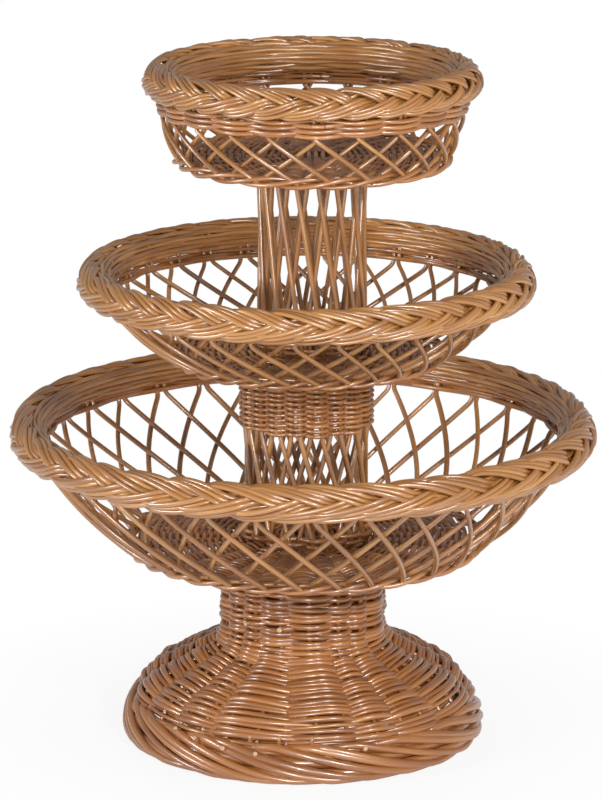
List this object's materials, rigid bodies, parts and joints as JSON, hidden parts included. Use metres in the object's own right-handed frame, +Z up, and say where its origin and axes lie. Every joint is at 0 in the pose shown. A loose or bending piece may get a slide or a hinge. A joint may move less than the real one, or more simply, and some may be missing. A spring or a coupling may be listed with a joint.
{
  "type": "tiered basket stand",
  "caption": "Tiered wicker basket stand: open lattice bowls with plaited rims, stacked on rod columns and a flared woven foot, for showing fruit or bread.",
  "frame": {"origin": "on the floor, at the centre of the foot", "axes": "+Z up along the lower tier's axis, -Y towards the viewer, +X to the viewer's right"},
  "size_m": [0.4996, 0.4986, 0.5901],
  "materials": {
    "willow_lattice": "satin varnish",
    "willow_weave": "satin varnish",
    "willow_plait": "satin varnish",
    "willow_foot": "satin varnish"
  },
  "bodies": {
    "lower_tier": {"foot_border": "willow_foot", "foot_stakes": "willow_foot", "foot_weave": "willow_foot", "neck_weave": "willow_foot", "lower_floor_sticks": "willow_weave", "lower_floor_weave": "willow_weave", "lower_base_edge": "willow_weave", "lower_lattice_outer": "willow_lattice", "lower_lattice_inner": "willow_lattice", "lower_wall_band": "willow_weave", "lower_plait_core": "willow_plait", "lower_plait_border": "willow_plait"},
    "middle_tier": {"middle_floor_sticks": "willow_weave", "middle_floor_weave": "willow_weave", "middle_base_edge": "willow_weave", "middle_lattice_outer": "willow_lattice", "middle_lattice_inner": "willow_lattice", "middle_wall_band": "willow_weave", "middle_plait_core": "willow_plait", "middle_plait_border": "willow_plait", "middle_column_ring": "willow_weave", "middle_column_rods_outer": "willow_lattice", "middle_column_rods_inner": "willow_lattice", "middle_column_collar": "willow_weave"},
    "upper_tier": {"upper_floor_sticks": "willow_weave", "upper_floor_weave": "willow_weave", "upper_base_edge": "willow_weave", "upper_lattice_outer": "willow_lattice", "upper_lattice_inner": "willow_lattice", "upper_wall_band": "willow_weave", "upper_plait_core": "willow_plait", "upper_plait_border": "willow_plait", "upper_column_ring": "willow_weave", "upper_column_rods_outer": "willow_lattice", "upper_column_rods_inner": "willow_lattice", "upper_column_collar": "willow_weave"}
  },
  "joints": [
    {"name": "middle_tier_lift", "type": "slide", "parent": "lower_tier", "child": "middle_tier", "axis": [0, 0, 1], "range_m": [0, 0.15]},
    {"name": "upper_tier_lift", "type": "slide", "parent": "middle_tier", "child": "upper_tier", "axis": [0, 0, 1], "range_m": [0, 0.13]}
  ]
}
